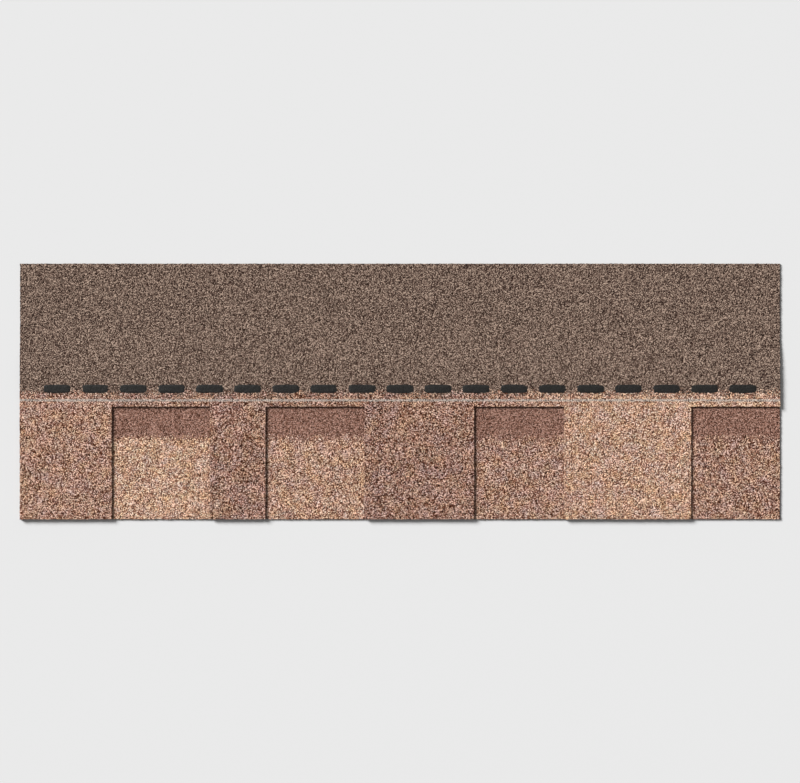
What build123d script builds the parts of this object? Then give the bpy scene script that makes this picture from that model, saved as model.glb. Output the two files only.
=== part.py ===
from build123d import *
import os
from itertools import accumulate, cycle, takewhile
from math import atan2, degrees, sin

# Laminated asphalt shingle: a top ply cut into wide teeth, glued over a narrower backer ply.
# Sheet coordinates, in millimetres: X along the shingle from its left end, Y up the roof from the
# butt edge, Z up from the deck. The written parts have their origin under the shingle's middle.

# The sheet
length = 1000.0
depth = 337.0
exposure = 143.0
ply_thickness = 2.7

# Teeth and slots along the butt edge: the cutter's drum turns out these pairs over and over
cutter_pattern = [(122, 128), (74, 129), (145, 117), (168, 117), (168, 94), (145, 163)]
slot_overrun = 5.0
tooth_corner_radius = 2.5
slot_corner_radius = 1.5

# Band above the slots where both plies are glued, sealed and nailed together
bond_zone = 32.0

# Headlap: it sags from the backer's upper edge down to the deck
drape_run = 80.0

# Asphalt adhesive between the plies
adhesive_thickness = 0.4
bead_width = 10.0
bead_inset = 12.0
lower_bead_height = 24.0
upper_bead_height = 100.0

# Self-seal dashes on the top face
dash_length = 38.0
dash_gap = 12.0
dash_width = 12.0
dash_height = 0.6
dash_edge = 2.0
dash_corner_radius = 4.0

# Release film let in flush on the underside
film_width = 24.0
film_thickness = 0.1
film_edge = 3.0

# Heights up the roof and levels above the deck that several pieces share
slot_depth = exposure + slot_overrun
backer_depth = slot_depth + bond_zone
lift = ply_thickness + adhesive_thickness
top_face = lift + ply_thickness


def runs_along(pattern):
    """Start and end of each tooth and slot of the repeated pattern, up to the sheet's right end."""
    widths = (width for pair in cycle(pattern) for width in pair)
    marks = takewhile(lambda mark: mark < length, accumulate(widths, initial=0))
    marks = [*marks, length]
    return list(zip(marks, marks[1:]))


teeth = runs_along(cutter_pattern)[0::2]
slots = runs_along(cutter_pattern)[1::2]


def block(x, y, z):
    """Box between a low and a high value on each axis."""
    low, high = zip(x, y, z)
    size = [b - a for a, b in zip(low, high)]
    return Pos(*low) * Box(*size, align=(Align.MIN, Align.MIN, Align.MIN))


def draped_profile():
    """Section of the top ply across its depth: level on the backer, an S of two tangent arcs
    down to the deck, then level to the headlap edge. Both faces share the arcs' centres."""
    turn = 2 * atan2(lift, drape_run)
    radius = drape_run / 2 / sin(turn)
    with BuildSketch(Plane.YZ) as profile:
        with BuildLine():
            under = Line((0, lift), (backer_depth, lift))
            fall = JernArc(under @ 1, under % 1, radius, -degrees(turn))
            settle = JernArc(fall @ 1, fall % 1, radius, degrees(turn))
            heel = Line(settle @ 1, (depth, 0))
            over = Line((0, top_face), (backer_depth, top_face))
            fall_over = JernArc(over @ 1, over % 1, radius + ply_thickness, -degrees(turn))
            settle_over = JernArc(fall_over @ 1, fall_over % 1, radius - ply_thickness, degrees(turn))
            head = Line(settle_over @ 1, (depth, ply_thickness))
            Line(under @ 0, over @ 0)
            Line(heel @ 1, head @ 1)
        make_face()
    return profile.sketch


def slot_cutter(width):
    """Outline of the blade for one slot. Its closed end is rounded, and wings below the butt edge
    carry the fillets that round the corners of the teeth on either side."""
    wing = 2 * tooth_corner_radius
    with BuildSketch() as blade:
        with Locations((width / 2, slot_depth / 2)):
            Rectangle(width, slot_depth)
        with Locations((width / 2, -wing / 2)):
            Rectangle(width + 2 * wing, wing)
        rows = blade.vertices().group_by(Axis.Y)
        mouth = rows[1].sort_by(Axis.X)[1:3]
        closed_end = rows[-1]
        fillet(mouth, tooth_corner_radius)
        fillet(closed_end, min(slot_corner_radius, width / 3))
    return blade.sketch


def make_top_ply():
    """Full-depth ply, draped over the backer's edge and slotted from the butt edge."""
    ply = extrude(draped_profile(), length)
    for (start, _), (_, width) in zip(slots, cycle(cutter_pattern)):
        ply -= Pos(start, 0, lift) * extrude(slot_cutter(width), ply_thickness)
    return ply


def make_backer_ply():
    """Narrow ply that shows in the slots, with the seat of the release film in its underside."""
    ply = block((0, length), (0, backer_depth), (0, ply_thickness))
    return ply - make_release_film()


def make_adhesive():
    """Beads across each tooth, and one along the whole bond zone."""
    layer = (ply_thickness, lift)
    bond_middle = slot_depth + bond_zone / 2
    beads = [(0, length, bond_middle)]
    for start, end in teeth:
        if end - start > 2 * bead_inset:
            for height in (lower_bead_height, upper_bead_height):
                beads.append((start + bead_inset, end - bead_inset, height))
    half = bead_width / 2
    return Part() + [block((a, b), (y - half, y + half), layer) for a, b, y in beads]


def make_sealant():
    """Row of dashes along the upper edge of the bond zone."""
    pitch = dash_length + dash_gap
    count = int((length - dash_gap) // pitch)
    first = (length - (count - 1) * pitch) / 2
    middle = backer_depth - dash_edge - dash_width / 2
    outline = RectangleRounded(dash_length, dash_width, dash_corner_radius)
    dash = extrude(outline, dash_height)
    return Part() + [Pos(first + i * pitch, middle, top_face) * dash for i in range(count)]


def make_release_film():
    """Thin strip along the backer's underside, just inside its upper edge."""
    upper = backer_depth - film_edge
    return block((0, length), (upper - film_width, upper), (0, film_thickness))


parts = {
    "top_ply": make_top_ply(),
    "backer_ply": make_backer_ply(),
    "laminating_adhesive": make_adhesive(),
    "sealant_strip": make_sealant(),
    "release_film": make_release_film(),
}

os.makedirs("parts", exist_ok=True)
to_centre = Pos(-length / 2, -depth / 2, 0)
for node, shape in parts.items():
    export_step(to_centre * shape, f"parts/{node}.step")
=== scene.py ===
import math

import bpy
import numpy as np
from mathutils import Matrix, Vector


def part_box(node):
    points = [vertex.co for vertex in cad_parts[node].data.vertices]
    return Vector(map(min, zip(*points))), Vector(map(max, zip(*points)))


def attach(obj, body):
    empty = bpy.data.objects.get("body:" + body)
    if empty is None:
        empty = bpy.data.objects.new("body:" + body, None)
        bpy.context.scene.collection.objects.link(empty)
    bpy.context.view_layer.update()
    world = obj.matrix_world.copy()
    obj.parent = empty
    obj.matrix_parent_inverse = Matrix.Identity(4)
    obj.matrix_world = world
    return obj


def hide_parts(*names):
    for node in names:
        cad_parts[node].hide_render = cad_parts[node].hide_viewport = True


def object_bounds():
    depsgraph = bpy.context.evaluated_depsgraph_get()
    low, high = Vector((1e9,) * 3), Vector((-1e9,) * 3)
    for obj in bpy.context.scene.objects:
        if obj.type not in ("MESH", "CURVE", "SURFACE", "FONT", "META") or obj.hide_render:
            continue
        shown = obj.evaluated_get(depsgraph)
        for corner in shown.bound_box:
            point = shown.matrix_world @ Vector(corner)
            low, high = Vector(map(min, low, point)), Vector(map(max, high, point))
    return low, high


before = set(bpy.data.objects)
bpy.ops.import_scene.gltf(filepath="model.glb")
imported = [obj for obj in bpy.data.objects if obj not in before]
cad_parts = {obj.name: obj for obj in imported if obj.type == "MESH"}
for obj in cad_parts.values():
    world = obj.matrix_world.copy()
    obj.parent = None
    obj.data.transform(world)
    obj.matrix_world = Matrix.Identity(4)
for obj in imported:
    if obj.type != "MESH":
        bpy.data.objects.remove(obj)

bl_info = {
    "name": "Laminated shingle dressing",
    "version": (1, 0, 0),
    "blender": (4, 5, 0),
    "location": "3D View > Sidebar > Shingle",
    "description": "Granules, cut edges, seal dashes and film of a laminated asphalt shingle",
    "category": "Object",
}

MM = 0.001
BODY = "root"
SEED = 7

# The CAD box, and the pieces' own boxes, that every place below is taken from
CAD_LOW, CAD_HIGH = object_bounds()
TOP_LOW, TOP_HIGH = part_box("top_ply")
BACKER_LOW, BACKER_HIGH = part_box("backer_ply")
DASH_LOW, DASH_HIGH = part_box("sealant_strip")
FILM_LOW, FILM_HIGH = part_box("release_film")
BUTT = TOP_LOW.y


# Settings

def colour_setting(name, description, screen_colour):
    """Colour property whose default is given as 8-bit screen values, which the sRGB curve turns
    into light."""
    share = np.array(screen_colour) / 255
    light = np.where(share <= 0.04045, share / 12.92, ((share + 0.055) / 1.055) ** 2.4)
    return bpy.props.FloatVectorProperty(
        name=name, description=description, subtype="COLOR", size=3, min=0, max=1, default=light)


def length_setting(name, description, millimetres):
    """Length property whose default is given in millimetres."""
    return bpy.props.FloatProperty(
        name=name, description=description, default=millimetres * MM, unit="LENGTH")


class ShingleSizes(bpy.types.PropertyGroup):
    """Sizes of the sheet that the frame's boxes don't give"""

    exposure: length_setting("Exposure", "From the butt edge to where the next course begins", 143)
    slot_depth: length_setting("Slot depth", "From the butt edge to the closed end of the slots", 148)
    tooth_corner: length_setting("Tooth corner", "Radius of the teeth's outer corners", 2.5)
    drape_run: length_setting("Drape run", "Distance over which the headlap falls to the floor", 80)
    grid_step: length_setting("Grid step", "Spacing of the granule surface's points", 1.75)
    edge_inset: length_setting("Edge inset", "How far the ragged cut edge lies inside its line", 0.4)
    edge_wear: length_setting("Edge wear", "How far the coat is worn back at the top of a cut edge", 0.35)
    relief: length_setting("Granule relief", "Unevenness of the granules, up or down", 0.2)
    wave: length_setting("Waviness", "Height of the sheet's slow waves, up or down", 0.12)
    coat: length_setting("Granule coat", "Thickness of the granule coat at a cut edge", 1.1)
    granule: length_setting("Granule size", "Width of one stone granule", 1.2)
    shadow_band: length_setting("Shadow band", "Width of the dark band under the exposure line", 36.5)
    headlap_edge: length_setting("Headlap edge", "Height at which the plain headlap begins", 166)
    nail_line: length_setting("Nail line", "Height of the painted nail guide line", 157)
    nail_line_width: length_setting("Nail line width", "Width of the nail guide line", 2.6)
    dash_length: length_setting("Dash length", "Length of one seal dash", 38)
    dash_gap: length_setting("Dash gap", "Gap between seal dashes", 12)


class ShingleColours(bpy.types.PropertyGroup):
    """Granule colours, and how light the blend is on each tooth and slot, from 0 to 1"""

    # Umber also darkens the gaps between granules, partly as the black asphalt there and partly as
    # painted shade
    umber: colour_setting("Umber", "Darkest granules, and the gaps between them", (50, 23, 13))
    chestnut: colour_setting("Chestnut", "Dark brown granules", (103, 61, 42))
    slate: colour_setting("Slate", "Grey-brown granules", (124, 92, 79))
    clay: colour_setting("Clay", "Brown granules", (160, 117, 97))
    rust: colour_setting("Rust", "Light orange-brown granules", (193, 150, 128))
    tan: colour_setting("Tan", "Tan granules", (219, 182, 159))
    sand: colour_setting("Sand", "Light tan granules", (242, 208, 185))
    cream: colour_setting("Cream", "Palest granules", (253, 232, 213))
    band_dark: colour_setting("Band dark", "Darkest granules of the shadow band", (92, 57, 43))
    band_middle: colour_setting("Band middle", "Middle granules of the shadow band", (161, 118, 101))
    band_pale: colour_setting("Band pale", "Palest granules of the shadow band", (196, 156, 140))
    headlap_dark: colour_setting("Headlap dark", "Darkest granules of the headlap", (48, 36, 30))
    headlap_middle: colour_setting("Headlap middle", "Middle granules of the headlap", (124, 102, 90))
    headlap_pale: colour_setting("Headlap pale", "Palest granules of the headlap", (190, 166, 148))
    nail_paint: colour_setting("Nail paint", "Chalky paint of the nail guide line", (206, 196, 186))
    tooth_tones: bpy.props.FloatVectorProperty(
        name="Tooth tones", description="Lightness of each tooth's blend, from the left",
        size=4, min=0, max=1, default=(0.47, 0.25, 0.2, 0.9))
    slot_tones: bpy.props.FloatVectorProperty(
        name="Slot tones", description="Lightness of each slot's blend, from the left",
        size=4, min=0, max=1, default=(1.0, 0.75, 0.45, 0.4))


def sizes():
    """The scene's sizes."""
    return bpy.context.scene.shingle_sizes


def colours():
    """The scene's colours and tones."""
    return bpy.context.scene.shingle_colours


# Meshes and what they carry

def mesh_object(name, points, faces, finish=None, materials=()):
    """New object at the origin with these points and faces, and one finish number for each face."""
    mesh = bpy.data.meshes.new(name)
    mesh.from_pydata(points, [], faces)
    for material in materials:
        mesh.materials.append(material)
    if finish is not None:
        mesh.polygons.foreach_set("material_index", finish.astype(np.int32))
    mesh.update()
    if mesh.validate():
        raise RuntimeError(f"{name} has broken faces")
    piece = bpy.data.objects.new(name, mesh)
    bpy.context.scene.collection.objects.link(piece)
    return piece


def vertex_places(piece):
    """The piece's vertices, one row each."""
    places = np.empty(len(piece.data.vertices) * 3, np.float32)
    piece.data.vertices.foreach_get("co", places)
    return places.reshape(-1, 3)


def float_attribute(piece, name, values):
    """Puts one number for each vertex on the piece, for its materials to read."""
    made = piece.data.attributes.new(name, "FLOAT", "POINT")
    made.data.foreach_set("value", values.astype(np.float32))


def dress(piece, material):
    """Gives a piece one material all over."""
    piece.data.materials.clear()
    piece.data.materials.append(material)


# Sheet grid

def grid_lines(marks, steps):
    """Values from the first mark to the last, through every mark, and the places of the marks among
    them. The values lie about a step apart, with one step for all stretches or one for each."""
    steps = np.broadcast_to(steps, len(marks) - 1)
    counts = [max(1, round((b - a) / step)) for a, b, step in zip(marks, marks[1:], steps)]
    stretches = [np.linspace(a, b, n, endpoint=False) for a, b, n in zip(marks, marks[1:], counts)]
    return np.concatenate([*stretches, marks[-1:]]), np.cumsum([0, *counts])


def point_numbers(kept):
    """Number of each grid point. Kept has one value for each cell, so one fewer each way."""
    across, up = kept.shape[0] + 1, kept.shape[1] + 1
    return np.arange(across * up).reshape(across, up)


def outline(kept):
    """Directed grid edges (from, to) that have a kept cell on their left and none on their right."""
    ids = point_numbers(kept)
    inside = np.pad(kept, 1)
    below, above = inside[1:-1, :-1], inside[1:-1, 1:]
    left, right = inside[:-1, 1:-1], inside[1:, 1:-1]
    runs = (
        (above & ~below, ids[:-1], ids[1:]),
        (below & ~above, ids[1:], ids[:-1]),
        (left & ~right, ids[:, :-1], ids[:, 1:]),
        (right & ~left, ids[:, 1:], ids[:, :-1]),
    )
    return np.concatenate([np.stack([a[here], b[here]], 1) for here, a, b in runs])


def inward(kept):
    """Way into the sheet at each grid point on its outline, of length one on a straight edge: half
    the sum of the ways to the kept cells around the point."""
    inside = np.pad(kept, 1).astype(float)
    low_left, low_right = inside[:-1, :-1], inside[1:, :-1]
    top_left, top_right = inside[:-1, 1:], inside[1:, 1:]
    across = low_right + top_right - low_left - top_left
    up = top_left + top_right - low_left - low_right
    return np.stack([across, up]) / 2


def wide_faces(kept, marks):
    """Underside faces: one for each row between two marks, with every outline point on its open
    sides and only its corners elsewhere, so that it closes on the walls with few triangles."""
    ids = point_numbers(kept)
    faces = []
    for a, b in zip(marks, marks[1:]):
        column = np.pad(kept[a], 1)
        for j in np.flatnonzero(kept[a]):
            near = slice(a, b + 1) if not column[j] else [a, b]
            far = slice(a, b + 1) if not column[j + 2] else [a, b]
            faces.append([*ids[far, j + 1], *ids[near, j][::-1]])
    return faces


def sheet_mesh(name, layers, levels, kept, marks, materials):
    """Closed sheet from three grids of points: the underside, the foot of the granule coat and the
    granule face. Their levels, as shares of the thickness, are kept for the materials to read.
    Materials are granules, granules seen at the cut edge, cut asphalt and sanded back, in that
    order."""
    ids = point_numbers(kept)
    layer = ids.size
    face = np.stack([ids[:-1, :-1], ids[1:, :-1], ids[1:, 1:], ids[:-1, 1:]], -1)[kept] + 2 * layer
    a, b = outline(kept).T
    wall = np.stack([a, b, b + layer, a + layer], 1)
    below = wide_faces(kept, marks)
    finish = np.repeat([0, 1, 2, 3], [len(face), len(wall), len(wall), len(below)])
    used = np.zeros(3 * layer, bool)
    for quads in (face, wall + layer, wall, np.concatenate(below)):
        used[quads] = True
    new = np.cumsum(used) - 1
    faces = [*new[face].tolist(), *new[wall + layer].tolist(), *new[wall].tolist()]
    faces += [new[f].tolist() for f in below]
    points = np.concatenate([p.reshape(-1, 3) for p in layers])[used]
    piece = mesh_object(name, points, faces, finish, materials)
    float_attribute(piece, "level", np.repeat(levels, layer)[used])
    return piece


# Sheet shape

def slot_sides():
    """X of each slot's side walls: where the CAD ply has points level with the teeth's corner arcs,
    to a hundredth of a millimetre. The sheet begins with a tooth and ends with a slot."""
    x, y, _ = vertex_places(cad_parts["top_ply"]).T
    reading_error = 0.02 * MM
    level = np.abs(y - (BUTT + sizes().tooth_corner)) < reading_error
    sides = np.unique(x[level].round(5))
    expected = 2 * len(colours().tooth_tones) - 1
    if len(sides) != expected:
        raise RuntimeError(f"Expected {expected} slot sides on the top ply, found {sides}")
    return sides


def waves(x, y, height):
    """Slow unevenness of a sheet: the mean of six plane sine waves with seeded directions, which
    turn by 8 to 34 radians for each metre along the sheet and by up to 30 up it."""
    rng = np.random.default_rng(SEED)
    least, most = (8, -30, 0), (34, 30, 2 * math.pi)
    kx, ky, start = rng.uniform(least, most, (6, 3)).T
    return height * np.sin(kx * x[..., None] + ky * y[..., None] + start).mean(-1)


def drape(y, lift):
    """Height of the top ply's underside at y, and how steeply it falls: level on the backer, then
    two tangent arcs of one radius that turn down and back over the drape run, then the floor."""
    run = sizes().drape_run
    turn = 2 * math.atan2(lift, run)
    radius = run / 2 / math.sin(turn)
    past_backer = np.clip(y - BACKER_HIGH.y, 0, run)
    from_end = np.minimum(past_backer, run - past_backer)
    drop = radius - np.sqrt(radius ** 2 - from_end ** 2)
    height = np.where(past_backer < run / 2, lift - drop, drop)
    return height, np.arcsin(from_end / radius)


def round_corner(x, y, corner, into_x, radius):
    """Rounds one corner of a grid: the square beside it, with its outer sides, is mapped onto a
    quarter disc, where a point's distance along each axis shrinks by the root of one less half the
    other's square."""
    u = 1 - (x - corner[0]) * into_x / radius
    v = 1 - (y - corner[1]) / radius
    outer_side = 1.001
    inside = (u > 0) & (u < outer_side) & (v > 0) & (v < outer_side)
    new_u = u * np.sqrt(np.maximum(1 - v ** 2 / 2, 0))
    new_v = v * np.sqrt(np.maximum(1 - u ** 2 / 2, 0))
    x = np.where(inside, corner[0] + (1 - new_u) * radius * into_x, x)
    y = np.where(inside, corner[1] + (1 - new_v) * radius, y)
    return x, y


def granule_sheet(name, xs, ys, kept, marks, thick, under, bend, rng, materials, corners=()):
    """A ply: its underside at the given heights, its thickness square to the bend, ragged cut
    edges worn back at the top, and a granule face whose points are shifted at random, by up to a
    share of a grid step along it and by up to the relief across it."""
    s = sizes()
    x, y = np.meshgrid(xs, ys, indexing="ij")
    for corner, into_x in corners:
        x, y = round_corner(x, y, corner, into_x, s.tooth_corner)
    on_edge = np.zeros(x.shape, bool)
    on_edge.ravel()[outline(kept).ravel()] = True
    levels = (0, 1 - s.coat / thick, 1)
    raggedness = (0.3, 1, 1)
    shift = 0.3
    layers = []
    for level, ragged in zip(levels, raggedness):
        aside = rng.uniform(-s.edge_inset, s.edge_inset, (2, *x.shape)) * on_edge * ragged
        up = np.full(x.shape, level * thick)
        if level == 1:
            aside += inward(kept) * s.edge_wear
            aside += rng.uniform(-shift, shift, (2, *x.shape)) * s.grid_step * ~on_edge
            up += rng.uniform(-s.relief, s.relief, x.shape) + waves(x, y, s.wave)
        layers.append(np.stack(
            [x + aside[0], y + aside[1] + up * np.sin(bend), under + up * np.cos(bend)], -1))
    return sheet_mesh(name, layers, levels, kept, marks, materials)


# Dash shape

def pillow(centre_x, centre_y, half_length, half_width, low, high, rng):
    """One seal dash: rings around its middle out to a superellipse whose edge wobbles and is a
    little ragged, at a height that falls as a power of the way out and is slightly lumpy, then a
    flat bottom sunk in the granules."""
    sides, squareness, fall = 72, 0.45, 6
    wobble, ragged, slump, lumpy = 0.05, 0.02, 0.16, 0.1
    out = np.array([0.35, 0.6, 0.78, 0.9, 0.96, 0.99, 1.0])[:, None]
    turn = np.linspace(0, 2 * math.pi, sides, endpoint=False)
    cos, sin = np.cos(turn), np.sin(turn)
    phase = rng.uniform(0, 2 * math.pi, (4, 1))
    order = np.array([[2], [3], [5], [9]])
    swing = (1 + np.sin(order * turn + phase).mean(0)) / 2
    edge = 1 - wobble * swing - ragged * rng.uniform(size=sides)
    x = centre_x + half_length * edge * np.sign(cos) * np.abs(cos) ** squareness * out
    y = centre_y + half_width * edge * np.sign(sin) * np.abs(sin) ** squareness * out
    swell = 1 - slump * rng.uniform() * (1 + np.sin(2 * turn + phase[0])) / 2
    lumps = 1 - lumpy * rng.uniform(size=(len(out), sides))
    z = low + (high - low) * np.sqrt(1 - out ** fall) * swell * lumps
    rings = np.stack([x, y, z], -1).reshape(-1, 3)
    middle = (centre_x, centre_y, rings[:sides, 2].mean())
    here = np.arange(sides)
    there = np.roll(here, -1)
    first = sides * np.arange(len(out) - 1)[:, None]
    bands = np.stack([here + first, here + first + sides, there + first + sides, there + first], -1)
    top = np.stack([np.full(sides, len(rings)), here, there], 1)
    bottom = (here + sides * (len(out) - 1))[::-1]
    faces = [*bands.reshape(-1, 4).tolist(), *top.tolist(), bottom.tolist()]
    return np.concatenate([rings, [middle]]), faces


# Shader nodes

def new_material(name):
    """Empty node material, and its tree."""
    material = bpy.data.materials.new(name)
    material.use_nodes = True
    material.node_tree.nodes.clear()
    return material, material.node_tree


def add(tree, kind, inputs=None, **settings):
    """Adds a node. Each input is a plain value or another node's output socket."""
    made = tree.nodes.new(kind)
    for name, value in settings.items():
        setattr(made, name, value)
    for name, value in (inputs or {}).items():
        if isinstance(value, bpy.types.NodeSocket):
            tree.links.new(value, made.inputs[name])
        else:
            made.inputs[name].default_value = value
    return made


def maths(tree, operation, *values, clamp=False):
    """Result of one Math node."""
    made = add(tree, "ShaderNodeMath", dict(enumerate(values)), operation=operation, use_clamp=clamp)
    return made.outputs[0]


def vector_maths(tree, operation, *values, result="Vector"):
    """Result of one Vector Math node."""
    made = add(tree, "ShaderNodeVectorMath", dict(enumerate(values)), operation=operation)
    return made.outputs[result]


def map_range(tree, value, low, high, to_low, to_high):
    """Value carried from one range to another and held at its ends."""
    made = add(tree, "ShaderNodeMapRange", {
        "Value": value, "From Min": low, "From Max": high, "To Min": to_low, "To Max": to_high})
    return made.outputs["Result"]


def mix_colour(tree, share, a, b, blend_type="MIX"):
    """Colour a turned into colour b by a share from 0 to 1."""
    made = add(tree, "ShaderNodeMix", {0: share, 6: a, 7: b}, data_type="RGBA", blend_type=blend_type)
    return made.outputs[2]


def ramp(tree, value, stops, interpolation="LINEAR"):
    """Colour for a value, from a list of (place, colour)."""
    made = add(tree, "ShaderNodeValToRGB", {"Fac": value})
    made.color_ramp.interpolation = interpolation
    elements = made.color_ramp.elements
    while len(elements) < len(stops):
        elements.new(1.0)
    for element, (place, colour) in zip(elements, stops):
        element.position = place
        element.color = (*colour, 1.0)
    return made.outputs["Color"]


def noise(tree, place, scale, detail=2.0):
    """Soft noise around a half."""
    made = add(tree, "ShaderNodeTexNoise", {"Vector": place, "Scale": scale, "Detail": detail})
    return made.outputs["Fac"]


def cells(tree, place, width, dimensions="2D"):
    """Outputs of a Voronoi node whose cells are about this wide, and three chances for each cell."""
    made = add(tree, "ShaderNodeTexVoronoi", {"Vector": place, "Scale": 1 / width},
               voronoi_dimensions=dimensions)
    chances = add(tree, "ShaderNodeSeparateColor", {"Color": made.outputs["Color"]})
    return made.outputs, chances.outputs


def attribute(tree, name):
    """Number that the piece's vertices carry under this name."""
    return add(tree, "ShaderNodeAttribute", attribute_name=name).outputs["Fac"]


def object_place(tree):
    """Object coordinates, in metres."""
    return add(tree, "ShaderNodeTexCoord").outputs["Object"]


def bump(tree, height, strength, distance):
    """Normal of a surface made uneven by a height."""
    made = add(tree, "ShaderNodeBump", {"Strength": strength, "Distance": distance, "Height": height})
    return made.outputs["Normal"]


def surface(tree, colour, roughness, normal=None, gloss=0.5):
    """Ends a tree in a Principled shader."""
    values = {"Base Color": colour, "Roughness": roughness, "Specular IOR Level": gloss}
    if normal is not None:
        values["Normal"] = normal
    shader = add(tree, "ShaderNodeBsdfPrincipled", values)
    add(tree, "ShaderNodeOutputMaterial", {"Surface": shader.outputs["BSDF"]})


# Granules

def exposed_blend():
    """Granule colours of the weathering face, each with the place where its share begins."""
    c = colours()
    return [(0, c.umber), (0.13, c.chestnut), (0.27, c.slate), (0.34, c.clay), (0.48, c.rust),
            (0.58, c.tan), (0.74, c.sand), (0.89, c.cream)]


def shadow_blend():
    """Granule colours of the shadow band, closer to each other than the exposed ones."""
    c = colours()
    return [(0, c.band_dark), (0.5, c.band_middle), (1, c.band_pale)]


def headlap_blend():
    """Granule colours of the headlap, which the next course hides."""
    c = colours()
    return [(0, c.headlap_dark), (0.5, c.headlap_middle), (1, c.headlap_pale)]


def exposed_colour(tree, place, chance):
    """One colour of the exposed blend for each granule, lighter where the piece's tone is higher,
    under two tints that drift along the sheet and a third that turns golden with the tone."""
    tone = attribute(tree, "tone")
    chance_share, tone_share, cloud_share = 0.74, 0.24, 0.03
    cloud = map_range(tree, noise(tree, place, 45, 3), 0.25, 0.75, -cloud_share, cloud_share)
    pick = maths(tree, "MULTIPLY_ADD", chance, chance_share, maths(tree, "MULTIPLY", tone, tone_share))
    colour = ramp(tree, maths(tree, "ADD", pick, cloud, clamp=True), exposed_blend(), "CONSTANT")
    tints = (
        (noise(tree, place, 90), [(0.3, (0.93, 1.0, 1.07)), (0.7, (1.055, 1.0, 0.94))]),
        (noise(tree, place, 70), [(0.3, (1.0, 1.0, 1.12)), (0.7, (1.0, 1.0, 0.9))]),
        (tone, [(0.2, (1.02, 1.0, 1.02)), (1.0, (1.08, 1.0, 0.91))]),
    )
    for value, tint in tints:
        colour = mix_colour(tree, 1.0, colour, ramp(tree, value, tint), "MULTIPLY")
    return colour


def past_border(tree, place, up_sheet, chance, border):
    """One on granules past the border up the sheet, zero before it. The border wanders, and each
    granule also strays its own way across it."""
    stray, wander = 6 * MM, 2 * MM
    own_way = map_range(tree, chance, 0, 1, -stray, stray)
    slow_way = map_range(tree, noise(tree, place, 60), 0.3, 0.7, -wander, wander)
    edge = maths(tree, "ADD", up_sheet, maths(tree, "ADD", own_way, slow_way))
    return maths(tree, "GREATER_THAN", edge, border)


def shaded_apart(tree, colour, chance):
    """Colour with each granule made a little darker or lighter."""
    darkest, lightest = 0.79, 1.23
    value = map_range(tree, chance, 0, 1, darkest, lightest)
    grey = add(tree, "ShaderNodeCombineColor", {"Red": value, "Green": value, "Blue": value})
    return mix_colour(tree, 1.0, colour, grey.outputs["Color"], "MULTIPLY")


def nail_painted(tree, colour, up_sheet, chance):
    """Colour with the nail guide line's thin chalky paint on it, uneven from granule to granule."""
    s = sizes()
    cover, uneven, soft, half = 0.75, 0.7 * MM, 0.2 * MM, s.nail_line_width / 2
    off_line = maths(tree, "ABSOLUTE", maths(tree, "SUBTRACT", up_sheet, BUTT + s.nail_line))
    off_line = maths(tree, "ADD", off_line, map_range(tree, chance, 0, 1, -uneven, uneven))
    share = map_range(tree, off_line, half, half + soft, cover, 0.0)
    return mix_colour(tree, share, colour, (*colours().nail_paint, 1))


def granule_bump(tree, place, granules):
    """Granules in relief, in real metres: a crown that falls from each granule's middle, and a face
    that leans its own way, by the dot product of its slope and the way from its middle."""
    crown_height, steepest = 0.3 * MM, 0.35
    crown = map_range(tree, granules["Distance"], 0.15, 0.7, crown_height, 0.0)
    slope = vector_maths(tree, "MULTIPLY_ADD", granules["Color"],
                         (2 * steepest, 2 * steepest, 0), (-steepest, -steepest, 0))
    from_middle = vector_maths(tree, "SUBTRACT", place, granules["Position"])
    facet = vector_maths(tree, "DOT_PRODUCT", from_middle, slope, result="Value")
    return bump(tree, maths(tree, "ADD", crown, facet), 1.0, 1.0)


def granule_coat(name, other_blend, border, dimensions="2D"):
    """Stone granules bedded in asphalt, with dark gaps between them that are partly the black asphalt
    and partly painted shade. They have the exposed blend, and the other blend past a border up the sheet."""
    material, tree = new_material(name)
    place = object_place(tree)
    up_sheet = add(tree, "ShaderNodeSeparateXYZ", {"Vector": place}).outputs["Y"]
    granules, (pick, stray, shade) = cells(tree, place, sizes().granule, dimensions)
    exposed = exposed_colour(tree, place, pick)
    other = ramp(tree, pick, other_blend)
    colour = mix_colour(tree, past_border(tree, place, up_sheet, stray, border), exposed, other)
    colour = shaded_apart(tree, colour, shade)
    colour = nail_painted(tree, colour, up_sheet, stray)
    # Gaps between granules darkened towards umber: partly the black asphalt that shows there, partly
    # painted shade that deepens towards each granule's edge
    gap = map_range(tree, granules["Distance"], 0.45, 0.68, 0.0, 0.9)
    colour = mix_colour(tree, gap, colour, (*colours().umber, 1))
    surface(tree, colour, 0.9, granule_bump(tree, place, granules), gloss=0.15)
    return material


# Other finishes

def shared(finish):
    """The material that a finish function makes, made once and named after it."""
    return bpy.data.materials.get(finish.__name__) or finish()


def cut_asphalt():
    """Cut edge of the sheet: black asphalt with specks of pale filler, and the sheet's glass mat as
    a pale line that wanders between two levels and breaks where its width falls to nothing."""
    material, tree = new_material("cut_asphalt")
    place = object_place(tree)
    specks = noise(tree, place, 900, 4)
    colour = ramp(tree, specks, [
        (0, (0.008, 0.007, 0.006)), (0.5, (0.015, 0.013, 0.012)), (0.7, (0.06, 0.05, 0.042))])
    lowest, highest, widest, soft, cover = 0.25, 0.37, 0.06, 0.03, 0.8
    mat_level = map_range(tree, noise(tree, place, 150, 3), 0.3, 0.7, lowest, highest)
    off_mat = maths(tree, "ABSOLUTE", maths(tree, "SUBTRACT", attribute(tree, "level"), mat_level))
    half_width = map_range(tree, noise(tree, place, 700, 3), 0.42, 0.6, 0.0, widest)
    fibre = map_range(tree, maths(tree, "SUBTRACT", off_mat, half_width), -soft, 0.0, cover, 0.0)
    colour = mix_colour(tree, fibre, colour, (0.26, 0.22, 0.18, 1))
    surface(tree, colour, 0.6, bump(tree, specks, 0.5, 0.3 * MM))
    return material


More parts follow.
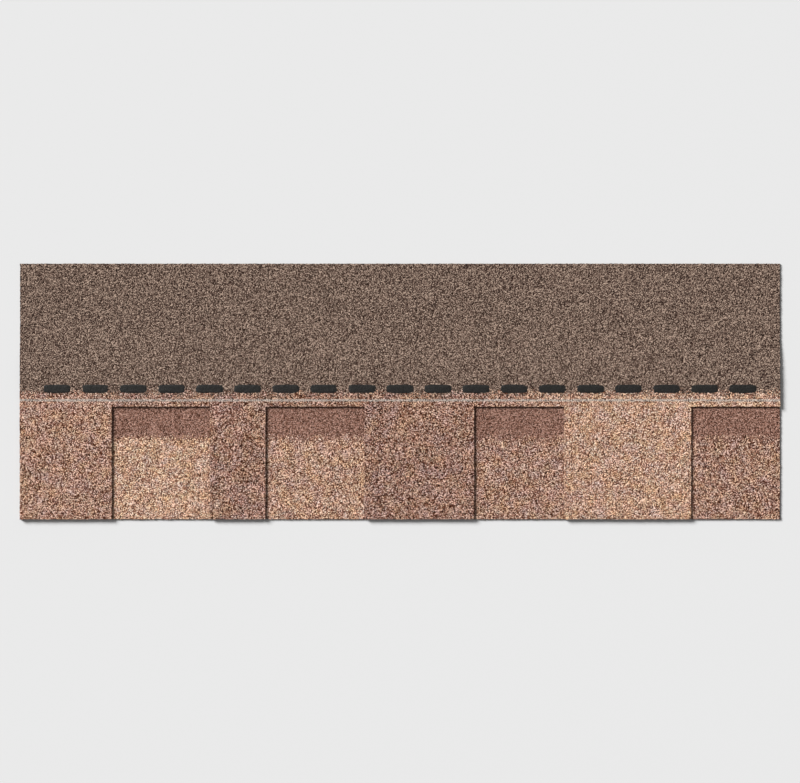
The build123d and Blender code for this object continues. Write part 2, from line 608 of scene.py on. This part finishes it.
def sanded_back():
    """Underside: black asphalt dusted with fine pale sand that hides most of it."""
    material, tree = new_material("sanded_back")
    place = object_place(tree)
    sand_grain, cloud_share = MM / 1.4, 0.09
    grains, (pick, _, _) = cells(tree, place, sand_grain)
    cloud = map_range(tree, noise(tree, place, 30, 4), 0.3, 0.7, -cloud_share, cloud_share)
    sands = [(0, (0.016, 0.014, 0.013)), (0.5, (0.045, 0.04, 0.036)), (0.82, (0.125, 0.11, 0.098))]
    colour = ramp(tree, maths(tree, "ADD", pick, cloud, clamp=True), sands, "CONSTANT")
    surface(tree, colour, 0.85, bump(tree, grains["Distance"], 0.4, 0.2 * MM))
    return material


def black_asphalt(name, roughness):
    """Black asphalt, wrinkled where it cooled, glossy in some places and dusty in others."""
    material, tree = new_material(name)
    place = object_place(tree)
    ripple = noise(tree, place, 260, 4)
    dust = noise(tree, place, 1100, 3)
    colour = ramp(tree, dust, [(0.45, (0.006, 0.0055, 0.005)), (0.75, (0.05, 0.045, 0.04))])
    dullness = map_range(tree, ripple, 0.35, 0.65, roughness, roughness + 0.25)
    surface(tree, colour, dullness, bump(tree, ripple, 0.7, 1.2 * MM), gloss=0.3)
    return material


def clear_film():
    """Thin glossy film over the sanded back, with fine lengthwise wrinkles."""
    material, tree = new_material("clear_film")
    stretched = add(tree, "ShaderNodeMapping", {"Vector": object_place(tree), "Scale": (25, 120, 25)})
    wrinkle = noise(tree, stretched.outputs["Vector"], 1, 5)
    colour = ramp(tree, wrinkle, [(0.3, (0.11, 0.113, 0.118)), (0.7, (0.19, 0.194, 0.2))])
    surface(tree, colour, 0.18, bump(tree, wrinkle, 0.6, 1.0 * MM))
    return material


def pale_floor():
    """Plain pale studio floor."""
    material, tree = new_material("pale_floor")
    surface(tree, (0.78, 0.78, 0.78, 1), 0.9)
    return material


# Pieces

def ply_materials(prefix, *coat):
    """Materials of a ply, in the order that its mesh numbers them. Granules on the cut edges have
    cells in three dimensions, because the edges stand upright."""
    return [
        granule_coat(f"{prefix}_granules", *coat),
        granule_coat(f"{prefix}_edge_granules", *coat, "3D"),
        shared(cut_asphalt),
        shared(sanded_back),
    ]


def give_tones(piece, marks, tones):
    """Lightness of the blend along the piece: level between each two marks, and sloping between
    one pair of marks and the next."""
    x = vertex_places(piece)[:, 0]
    float_attribute(piece, "tone", np.interp(x, marks, np.repeat(tones, 2)))


class SHINGLE_OT_top_ply(bpy.types.Operator):
    """Full-depth toothed ply: granules on top, black cut edges, sanded underneath"""

    bl_idname = "shingle.top_ply"
    bl_label = "Top ply"

    def execute(self, context):
        s = sizes()
        inset = s.edge_inset
        thick = BACKER_HIGH.z
        lift = DASH_LOW.z - thick
        sides = slot_sides()
        into_tooth = np.where(np.arange(len(sides)) % 2 == 0, -1, 1)
        marks_x = np.array([TOP_LOW.x + inset, *(sides + into_tooth * inset), TOP_HIGH.x - inset])
        marks_y = np.array([BUTT + inset, BUTT + s.slot_depth + inset, TOP_HIGH.y - inset])
        xs, at_x = grid_lines(marks_x, s.grid_step)
        ys, at_y = grid_lines(marks_y, s.grid_step)
        kept = np.ones((len(xs) - 1, len(ys) - 1), bool)
        for a, b in zip(at_x[1::2], at_x[2::2]):
            kept[a:b, :at_y[1]] = False
        corners = [((x, marks_y[0]), way) for x, way in zip(marks_x[1:-1], into_tooth)]
        under, bend = drape(ys[None, :], lift)
        materials = ply_materials("tooth", headlap_blend(), BUTT + s.headlap_edge)
        piece = granule_sheet("toothed_ply", xs, ys, kept, at_x, thick, under, bend,
                              np.random.default_rng(SEED), materials, corners)
        give_tones(piece, marks_x[:-1], colours().tooth_tones)
        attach(piece, BODY)
        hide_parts("top_ply")
        return {"FINISHED"}


class SHINGLE_OT_backer_ply(bpy.types.Operator):
    """Narrow ply that shows in the slots, with the dark shadow band along their closed ends"""

    bl_idname = "shingle.backer_ply"
    bl_label = "Backer ply"

    def execute(self, context):
        s = sizes()
        inset = s.edge_inset
        sides = slot_sides()
        marks_x = np.array([BACKER_LOW.x + inset, *sides, BACKER_HIGH.x - inset])
        seat_slope, seat_depth = 0.3 * MM, 1.2 * FILM_HIGH.z
        marks_y = np.array([BUTT + inset, BUTT + s.slot_depth, FILM_LOW.y - seat_slope, FILM_LOW.y,
                            FILM_HIGH.y, FILM_HIGH.y + seat_slope, BACKER_HIGH.y - inset])
        # Wider steps where the top ply hides the backer: under the teeth, and in the bond zone
        tooth_step, bond_step = 2 * s.grid_step, 4 * s.grid_step
        xs, at_x = grid_lines(marks_x, [tooth_step, s.grid_step] * (len(marks_x) // 2))
        ys, _ = grid_lines(marks_y, [s.grid_step] + [bond_step] * (len(marks_y) - 2))
        kept = np.ones((len(xs) - 1, len(ys) - 1), bool)
        in_seat = (ys > FILM_LOW.y - seat_slope / 2) & (ys < FILM_HIGH.y + seat_slope / 2)
        under = np.where(in_seat, seat_depth, 0)[None, :]
        materials = ply_materials("slot", shadow_blend(), BUTT + s.exposure - s.shadow_band)
        piece = granule_sheet("backer_strip", xs, ys, kept, at_x, BACKER_HIGH.z, under, 0,
                              np.random.default_rng(SEED + 1), materials)
        give_tones(piece, [*sides, BACKER_HIGH.x], colours().slot_tones)
        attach(piece, BODY)
        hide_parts("backer_ply")
        return {"FINISHED"}


class SHINGLE_OT_seal_dashes(bpy.types.Operator):
    """Row of self-seal asphalt dashes, each poured, slightly domed and a little uneven"""

    bl_idname = "shingle.seal_dashes"
    bl_label = "Seal dashes"

    def execute(self, context):
        s = sizes()
        rng = np.random.default_rng(SEED + 2)
        pitch = s.dash_length + s.dash_gap
        count = round((DASH_HIGH.x - DASH_LOW.x + s.dash_gap) / pitch)
        half_length, half_width = s.dash_length / 2, (DASH_HIGH.y - DASH_LOW.y) / 2
        middle_y = (DASH_LOW.y + DASH_HIGH.y) / 2
        sunk = 2 * s.relief
        points, faces = [], []
        for i in range(count):
            middle_x = DASH_LOW.x + half_length + i * pitch
            dash, dash_faces = pillow(
                middle_x, middle_y, half_length, half_width, DASH_LOW.z - sunk, DASH_HIGH.z, rng)
            faces += [[k + i * len(dash) for k in face] for face in dash_faces]
            points.append(dash)
        piece = mesh_object("seal_dashes", np.concatenate(points), faces)
        piece.data.shade_smooth()
        dress(piece, black_asphalt("seal_asphalt", 0.48))
        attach(piece, BODY)
        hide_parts("sealant_strip")
        return {"FINISHED"}


class SHINGLE_OT_beads_and_film(bpy.types.Operator):
    """Finishes of the laminating beads and the release film"""

    bl_idname = "shingle.beads_and_film"
    bl_label = "Laminating beads and release film"

    def execute(self, context):
        dress(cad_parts["laminating_adhesive"], black_asphalt("laminating_asphalt", 0.5))
        dress(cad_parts["release_film"], clear_film())
        return {"FINISHED"}


class SHINGLE_OT_stage(bpy.types.Operator):
    """Pale floor, soft studio light from the upper left, and a camera looking straight down"""

    bl_idname = "shingle.stage"
    bl_label = "Stage"

    def execute(self, context):
        scene = context.scene
        reach, level = 6, -0.02 * MM
        ways = ((-1, -1), (1, -1), (1, 1), (-1, 1))
        corners = [(x * reach, y * reach, level) for x, y in ways]
        floor = mesh_object("floor", corners, [(0, 1, 2, 3)], materials=[pale_floor()])
        key = bpy.data.lights.new("key", "SUN")
        key.energy = 4.86
        key.angle = math.radians(24)
        lamp = bpy.data.objects.new("key", key)
        towards_key = Vector((-1.2, 0.95, 1.0))
        lamp.rotation_euler = towards_key.to_track_quat("Z", "Y").to_euler()
        scene.collection.objects.link(lamp)
        scene.world = bpy.data.worlds.new("studio")
        scene.world.use_nodes = True
        sky = scene.world.node_tree.nodes["Background"].inputs
        sky["Color"].default_value = (1, 1, 1, 1)
        sky["Strength"].default_value = 0.2
        lens = bpy.data.cameras.new("camera")
        lens.lens = 100
        camera = bpy.data.objects.new("camera", lens)
        share_of_view = 0.95
        view_width = (CAD_HIGH.x - CAD_LOW.x) / share_of_view
        camera.location = (0, 0, view_width * lens.lens / lens.sensor_width)
        scene.collection.objects.link(camera)
        scene.camera = camera
        scene.view_settings.view_transform = "Standard"
        return {"FINISHED"}


PIECES = (
    SHINGLE_OT_top_ply,
    SHINGLE_OT_backer_ply,
    SHINGLE_OT_seal_dashes,
    SHINGLE_OT_beads_and_film,
    SHINGLE_OT_stage,
)


class SHINGLE_PT_panel(bpy.types.Panel):
    """Buttons for each piece, with the sizes and colours they use"""

    bl_label = "Shingle"
    bl_space_type = "VIEW_3D"
    bl_region_type = "UI"
    bl_category = "Shingle"

    def draw(self, context):
        for piece in PIECES:
            self.layout.operator(piece.bl_idname)
        for group in (sizes(), colours()):
            for name in group.__annotations__:
                self.layout.prop(group, name)


CLASSES = (ShingleSizes, ShingleColours, *PIECES, SHINGLE_PT_panel)


def register():
    for cls in CLASSES:
        bpy.utils.register_class(cls)
    bpy.types.Scene.shingle_sizes = bpy.props.PointerProperty(type=ShingleSizes)
    bpy.types.Scene.shingle_colours = bpy.props.PointerProperty(type=ShingleColours)


def unregister():
    del bpy.types.Scene.shingle_sizes
    del bpy.types.Scene.shingle_colours
    for cls in reversed(CLASSES):
        bpy.utils.unregister_class(cls)


def main():
    """Makes every piece and the stage."""
    register()
    bpy.ops.shingle.top_ply()
    bpy.ops.shingle.backer_ply()
    bpy.ops.shingle.seal_dashes()
    bpy.ops.shingle.beads_and_film()
    bpy.ops.shingle.stage()


if __name__ == "__main__":
    main()
